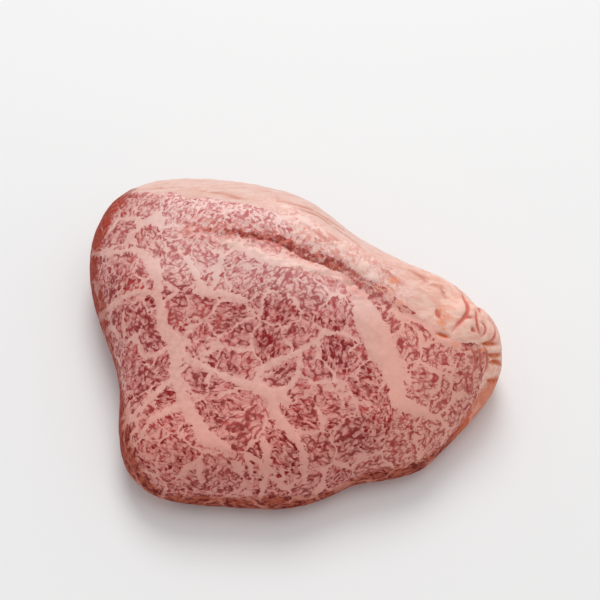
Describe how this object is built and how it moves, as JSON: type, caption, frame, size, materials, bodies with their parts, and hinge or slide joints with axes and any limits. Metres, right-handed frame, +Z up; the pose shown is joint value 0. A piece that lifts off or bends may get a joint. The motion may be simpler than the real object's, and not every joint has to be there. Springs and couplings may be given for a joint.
{
  "type": "raw beef tenderloin piece",
  "caption": "Thick raw piece of marbled beef tenderloin: a sloping cut face, a seam between two muscles, a rounded fatty back and a gathered knob of fat at the right-hand end.",
  "frame": {"origin": "middle of the footprint's bounding box, on the table", "axes": "+X to the knob, +Y to the fatty back, +Z up"},
  "size_m": [0.134, 0.1154, 0.0456],
  "materials": {
    "marbled_beef": "moist raw beef, finely marbled: dark pink flecks in pale pink fat, softly satin; beige fat outside"
  },
  "bodies": {
    "root": {"tenderloin": "marbled_beef"}
  },
  "joints": []
}
